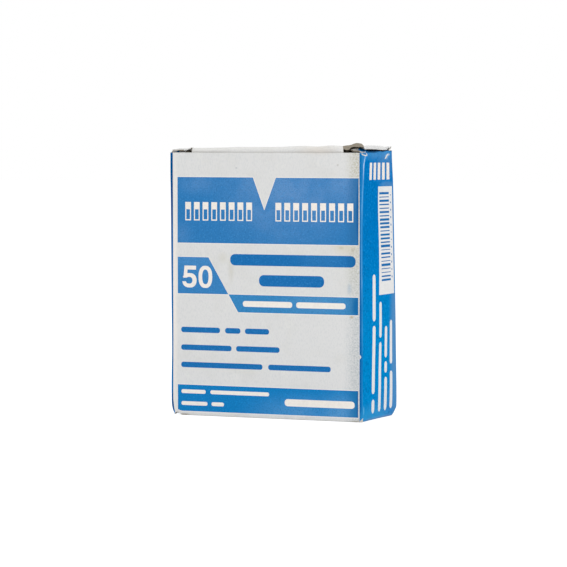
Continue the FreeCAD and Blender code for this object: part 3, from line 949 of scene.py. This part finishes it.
# Lines of print, stood for by plain rounded bars: finish, lower and upper edge, then each bar's ends.
for finish, low, high, *spans in ((LINE, 47.0, 50.5, (-11.9, 29.6)), (LINE, 40.7, 44.2, (-2.2, 19.4)),
                                  (LETTER, 34.3, 36.1, (-7.6, 8.9), (10.2, 26.4)),
                                  (LINE, 25.9, 27.6, (-28.6, -15.3), (-13.6, -8.4), (-6.9, 1.2)),
                                  (LINE, 20.4, 22.1, (-28.6, -11.4), (-9.9, 4.7)),
                                  (LINE, 15.0, 16.7, (-28.6, -1.0), (0.9, 21.6)),
                                  (LETTER, 6.9, 8.1, (-28.5, -20.2), (-18.6, 1.2)),
                                  (LETTER, 3.2, 4.4, (-28.5, -19.6), (-18.2, -14.0)),
                                  (LETTER, 4.1, 6.3, (6.4, 29.4))):
    fields += [(finish, bar(first, low, last, high, (high - low) * 0.45)) for first, last in spans]


def on_side(*places):
    """Blank coordinates of (depth, height) places on the right side wall."""
    return [(side_u(y), v) for y, v in places]


# Right side print: five heading bars, a scuff, a white label with two columns of cross bars of random
# width, and four upright lines.
fields += [(LETTER, shape) for shape in printed_row(side_u(-6.9), 76.1, 2.3, 5.2, count=5, pitch=3.9)]
label_low, label_high = 38.15, 71.4
fields += [(WHITE, on_side((6.0, 79.75), (7.0, 79.93), (8.9, 81.05), (8.4, 81.3), (7.3, 80.95),
                           (6.4, 80.25))),
           (LABEL, on_side((-0.95, label_low), (12.2, label_low), (12.05, label_high), (0.35, label_high)))]
for middle, tall, first, seed, count, pitch, widest in ((5.3, 8.0, 42.6, 7, 24, 1.16, 1.75),
                                                        (10.55, 0.6, 43.4, 3, 12, 2.3, 1.5)):
    row = printed_row(side_u(middle), first, 0.46, tall, upright=True, count=count, pitch=pitch,
                      narrowest=0.45, widest=widest, seed=seed)
    fields += [(LINE, shape) for shape in row]
for middle, half, *spans in ((-5.0, 1.15, (2.3, 6.3), (8.0, 28.9), (30.3, 44.6)),
                             (0.1, 0.95, (2.4, 23.6), (25.0, 36.0)),
                             (4.7, 1.0, (2.4, 12.6), (13.9, 17.4), (18.6, 28.3)),
                             (9.0, 1.0, (2.6, 14.2), (16.4, 30.0))):
    fields += [(LABEL, bar(side_u(middle - half), low, side_u(middle + half), high, half * 0.9))
               for low, high in spans]

# Fold lines, and the grids of points between them: first and last u, their spacing, and the same for v.
lines = []
grids = [(-u_front, u_front, 1.3, 0.6, 81.6, 1.3), (u_right, u_right_end, 1.15, 1.5, 81.4, 1.15),
         (u_left_end, -u_right, 1.3, 1.5, 81.4, 1.3), (u_back, u_back_end, 1.6, 0.3, 82.3, 1.6),
         (u_glue, u_glue_end, 1.6, 2, 80.6, 1.6)]
wall_strips, flap_strips = 8, 6
for first in (-u_right, u_front, u_right_end, u_back_end):
    for k in range(wall_strips + 1):
        u = first + arc * k / wall_strips
        lines.append(((u, 0.0 if k in (0, wall_strips) else -0.5), (u, 83.0)))
for way in (-1, 1):
    for root, sense in ((upper_fold_z, 1), (lower_fold_z, -1)):
        for k in range(flap_strips + 1):
            v = root + sense * flap_turn * k / flap_strips
            lines.append(((way * near_u, v), (way * far_u, v)))
    a, b = sorted((way * near_u, way * far_u))
    grids.append((a + 0.3, b - 0.3, 1.2, upper_fold_z + 1.3, top_flap_end, 1.2))
    grids.append((a + 0.3, b - 0.3, 1.8, low_flap_end, lower_fold_z - 1.3, 1.8))
for first in (-u_right, u_front, u_right_end, u_back_end):
    grids.append((first, first + arc, arc / wall_strips, 0.9, 82.2, 1.0))


def wall_wear_and_highlight(u, v):
    """Rubbing along the carton's folds, strongest at the near right one, whose crest line is also a painted
    highlight.
    """
    wear = np.zeros_like(u)
    # The near right fold's crest line: worn pale ink, and a painted highlight along the fold's rounding.
    crest = curve(v, [(0, 32.3), (7, 31.9), (14, 31.6), (23, 31.72), (36, 31.58), (60, 31.47), (66, 31.58),
                      (68, 31.64), (73, 31.76), (76, 31.82), (78.4, 31.81), (80.2, 32.14), (81.5, 32.4)])
    rubbed_and_lit = curve(v, [(5, 0.35), (22, 0.36), (27, 0.58), (34, 0.48), (41, 0.72), (52, 0.7), (60, 0.66),
                       (68, 0.76), (73, 0.76), (76, 0.98), (78, 1.2), (80, 1.4)])
    crest += 0.06 * ripple(v, v, 6, 2)
    for middle, reach, strength in ((31.5, 0.7, 0.12 + 0.2 * ease(v, 58, 79)),
                                    (crest, 0.38, rubbed_and_lit * ease(v, 81.3, 80.7)),
                                    (u_right_end + arc / 2, 0.8, 0.4), (u_back_end + arc / 2, 0.8, 0.5)):
        near = np.clip(1.3 - 1.3 * np.abs(u - middle) / reach, 0, 1)
        wear = np.maximum(wear, np.clip(strength * near, 0, 1))
    top = np.clip(1 - np.abs(v - upper_fold_z + 0.25) / 1.7, 0, 1)
    low = np.clip(1 - np.abs(v - lower_fold_z + 0.4) / 0.9, 0, 1)
    return np.maximum(wear, on_flap(u) * np.maximum(0.4 * top, 0.5 * low))


def settle_body(point, flat):
    u, v = flat.T
    move = settle_walls(point, u)
    return move + settle_dust_flaps(point + move, on_flap(u) & (v > upper_fold_z - 0.6))


def knuckle(u, v):
    """Where the coating is rolled over the cut edge beside the near right dust flap's root."""
    return (np.abs(u - near_u) < 0.05) & (np.abs(v - upper_fold_z - 0.9) < 1.3)


carton = pressed_board("carton_board", outline, fields, lines, grids, on_walls, settle_body, FINISHES,
                       wall_wear_and_highlight, lip=knuckle)

# ---- lid and bottom closure ---------------------------------------------------------------------
PLAIN = [white, raw]
start_s = lid_y - (half_d - hinge_fold)    # a closure's blank starts here, where its crease ends


def closure_outline(sizes, plain_half):
    """Blank of a closure: panel, two slit lock tabs and a tuck flap with rounded corners."""
    half, crease, tuck = sizes["half"], sizes["crease_half"], sizes["tuck_half"]
    slit_end, shoulder, corner, steps = sizes["flat_end"] - 0.3, swing + 1.75, 4.0, 6
    right = [(plain_half, start_s), (half, start_s + 0.02), (half, swing - 0.5), (half - 0.5, swing),
             (crease + 0.3, swing), (crease + 0.06, slit_end), (crease, slit_end), (crease, shoulder),
             (tuck, shoulder + 0.6)]
    for k in range(steps + 1):
        angle = k / steps * QUARTER
        right.append((tuck - corner * (1 - math.cos(angle)),
                      sizes["tuck_end"] - corner * (1 - math.sin(angle))))
    return right + [(-x, s) for x, s in right[::-1]]


def frayed_tab(x, s):
    """How many times its thickness the board is at the lid's tabs: pressed left, split right."""
    layers = curve(x, [(-31.5, 0.8), (-25, 0.8), (25.2, 1.4), (25.9, 2.6), (26.7, 3.9), (27.3, 2.9),
                       (27.9, 1.7), (28.5, 2.2), (29.1, 2.7), (29.7, 3.0), (30.4, 2.8), (31.1, 2.2),
                       (31.5, 1.2)])
    return 1 + (layers - 1) * ease(s, swing - 2.2, swing - 0.1) * (np.abs(x) > 25.2) * (s < swing + 0.05)


def rolled_lid_edge(x, s):
    """Where the lid's coating is rolled over its cut edge: along its right side, and on the left lock tab."""
    right_side = (x > 31.0) & (s > 2) & (s < swing - 0.4)
    left_tab = (x > -27.9) & (x < -25.3) & (s > swing - 0.1) & (s < swing + 0.05)
    return right_side | left_tab


def closure_board(name, sizes, plain_half, grids, axis_y, axis_z, way, settle, **more):
    """A closure's board, folded over its tuck crease; way is 1 for the lid and -1 for the bottom."""
    crease, flat_end = sizes["crease_half"], sizes["flat_end"]
    folds = [flat_end + tuck_fold * QUARTER * k / 8 for k in range(9)]
    fold_lines = [((-crease, s), (crease, s)) for s in folds]

    # Wear along the tuck fold, centred where the fold turns down in front so that it also lightens the shade
    # there: painted light.
    def wear(x, s):
        return 0.5 * (np.clip(1 - np.abs(s - flat_end - 0.9) / 1.2, 0, 1) * (np.abs(x) < crease))

    return pressed_board(name, closure_outline(sizes, plain_half), [], fold_lines, grids,
                         on_closure(sizes, axis_y, axis_z, way), settle, PLAIN, wear, **more)


lid = closure_board(
    "lid_board", lid_sizes, crease_x,
    [(-31.5, 24.0, 1.2, 0.8, lid_sizes["flat_end"] - 0.3, 1.2), (24.4, 31.4, 0.45, 0.8, swing - 0.2, 0.6),
     (-31.3, -25.6, 1.0, lid_sizes["flat_end"] + 0.2, swing - 0.2, 0.4),
     (-30.5, 30.5, 1.3, lid_sizes["fold_end"] + 0.6, lid_sizes["tuck_end"] - 0.3, 1.2)],
    lid_y, lid_z, 1, lambda point, flat: settle_lid(point, is_tab(lid_sizes, *flat.T)),
    swell=frayed_tab, lip=rolled_lid_edge)
base = closure_board(
    "bottom_board", base_sizes, base_edge - 0.01,
    [(-30, 30, 1.4, 0.8, base_sizes["flat_end"] - 0.3, 1.4),
     (-29, 29, 1.4, base_sizes["fold_end"] + 0.6, base_sizes["tuck_end"] - 0.3, 1.4)],
    base_y, base_z, -1, lambda point, flat: settle_base(point), step=0.4)


def crease_strip(name, half, axis_z, way, settle):
    """Bent strip of board that joins a wall to its closure."""
    length = hinge_fold * QUARTER
    strip_lines = [((-half, length * k / 6), (half, length * k / 6)) for k in range(1, 6)]
    grid = (-half, half, 1.2, 0.1, 0.2, 0.1)

    def wear(x, s):
        return 0.7 * np.clip(1 - np.abs(s - length / 2) / (length / 2), 0, 1)

    return pressed_board(name, bar(-half, 0, half, length), [], strip_lines, [grid],
                         on_crease(axis_z, way), settle, PLAIN, wear, step=0.4)


def settle_lid_crease(point, flat):
    move = np.zeros_like(point)
    move[:, 0] = back_shift(point[:, 0])
    return move


lid_crease = crease_strip("lid_crease", crease_x, lid_z, 1, settle_lid_crease)
base_crease = crease_strip("bottom_crease", base_edge, base_z, -1, lambda point, flat: corner_dent(point))

# ---- slides -------------------------------------------------------------------------------------
slide_names = sorted(name for name in frame["nodes"] if name.startswith("glass_slide"))
for name in slide_names:
    node = frame["nodes"][name]
    if not node.data.materials:
        node.data.materials.append(glass)
    for slot in node.material_slots:
        slot.material = glass
first_low, first_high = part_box(slide_names[0])
next_low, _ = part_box(slide_names[1])
coat_deep, coat_tall, coat_thick, below_top = 25.0 * MM, 20 * MM, 0.024 * MM, 0.05 * MM
coat_x, coat_y = (first_high.x + next_low.x) / 2, (first_low.y + first_high.y) / 2
coat_z = first_high.z - below_top - coat_tall / 2
coats = block_row("frosted_ends", (coat_x, coat_y, coat_z), count=len(slide_names),
                  pitch=next_low.x - first_low.x, width=coat_thick, depth=coat_deep, height=coat_tall,
                  finish=frost)

# ---- riding, replacing --------------------------------------------------------------------------
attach(carton, "carton")
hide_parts("carton_body")
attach(lid, "lid")
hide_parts("top_lid")
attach(base, "bottom")
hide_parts("bottom_closure")


def crease_turn(wall_end, closure_end):
    """Start and end of a crease's turning, between its inner face's two ends."""
    wall_end, closure_end = np.array(wall_end), np.array(closure_end)
    share = board / (2 * hinge_fold)
    places = (wall_end + (closure_end - wall_end) * t for t in (share, 1 - share))
    return [(0, y * MM, z * MM) for y, z in places]


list(crease_turn((half_d, back_top), (half_d - hinge_fold, lid_high[2])))
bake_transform(lid_crease)
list(crease_turn((-half_d, crease_z), (hinge_fold - half_d, base_low[2])))
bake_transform(base_crease)
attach(coats, "carton")


# ---- floor, light and camera --------------------------------------------------------------------
def show_white(tree, lit, shown):
    """Mixes two shaders: lit for light that falls on things, shown for what eyes, gloss and glass see."""
    rays = add_node(tree, "ShaderNodeLightPath").outputs
    seen = rays["Is Camera Ray"]
    for ray in ("Is Glossy Ray", "Is Transmission Ray"):
        seen = add_node(tree, "ShaderNodeMath", {0: seen, 1: rays[ray]}, operation="MAXIMUM").outputs[0]
    return add_node(tree, "ShaderNodeMixShader", {0: seen, 1: lit.outputs[0], 2: shown.outputs[0]}).outputs[0]


def white_floor():
    """Pale floor that meets the white background and still keeps the carton's shadow."""
    mesh = bpy.data.meshes.new("floor")
    reach = 6.0
    mesh.from_pydata([(-reach, -reach, 0), (reach, -reach, 0), (reach, reach, 0), (-reach, reach, 0)], [],
                     [(0, 1, 2, 3)])
    material = bpy.data.materials.new("floor_paper")
    material.use_nodes = True
    tree = material.node_tree
    tree.nodes.remove(tree.nodes["Principled BSDF"])
    grain = add_node(tree, "ShaderNodeTexNoise", {"Scale": 30})
    tone = add_node(tree, "ShaderNodeMapRange", {0: grain.outputs["Fac"], 3: 0.44, 4: 0.46})
    plain = add_node(tree, "ShaderNodeBsdfDiffuse", {"Color": tone.outputs[0]})
    glow = add_node(tree, "ShaderNodeEmission", {"Strength": 0.82})
    both = add_node(tree, "ShaderNodeAddShader", {0: plain.outputs[0], 1: glow.outputs[0]})
    bounce = add_node(tree, "ShaderNodeBsdfDiffuse", {"Color": (0.88, 0.88, 0.88, 1)})
    tree.links.new(show_white(tree, bounce, both), tree.nodes["Material Output"].inputs["Surface"])
    mesh.materials.append(material)
    return put_in_scene("floor", mesh)


white_floor()

world = bpy.data.worlds.new("studio")
bpy.context.scene.world = world
world.use_nodes = True
world_tree = world.node_tree
ambient = world_tree.nodes["Background"]
ambient.inputs["Color"].default_value = (1, 1, 1, 1)
ambient.inputs["Strength"].default_value = 0.55
backdrop = add_node(world_tree, "ShaderNodeBackground", {"Color": (1, 1, 1, 1), "Strength": 1.0})
surface = show_white(world_tree, ambient, backdrop)
world_tree.links.new(surface, world_tree.nodes["World Output"].inputs["Surface"])
middle = Vector((0, 0, 0.042))             # of the carton; the lamps look at it


def softbox(name, place, size, power):
    """Square area lamp looking at the carton's middle."""
    lamp = bpy.data.lights.new(name, "AREA")
    lamp.shape, lamp.size, lamp.energy = "SQUARE", size, power
    holder = put_in_scene(name, lamp)
    holder.location = place
    holder.rotation_euler = (middle - Vector(place)).to_track_quat("-Z", "Y").to_euler()


softbox("front_softbox", (0.15, -1.1, 0.45), 0.7, 3.7)
softbox("right_softbox", (1.0, -0.35, 0.35), 0.6, 3.4)
softbox("top_softbox", (0.0, 0.1, 1.0), 0.7, 2.6)

camera_data = bpy.data.cameras.new("camera")
camera_data.lens, camera_data.sensor_width = 171.7, 36.0
camera_data.clip_start, camera_data.clip_end = 0.01, 50
camera = put_in_scene("camera", camera_data)
turn, tilt, roll = math.radians(22.853), math.radians(2.778), math.radians(0.10)
camera.location = (0.32687, -0.77556, 0.08183)
aimed = Matrix.Rotation(turn, 4, "Z") @ Matrix.Rotation(QUARTER - tilt, 4, "X")
heading = aimed @ Matrix.Rotation(roll, 4, "Z")
camera.rotation_euler = heading.to_euler()
bpy.context.scene.camera = camera
bpy.context.scene.view_settings.view_transform = "Standard"
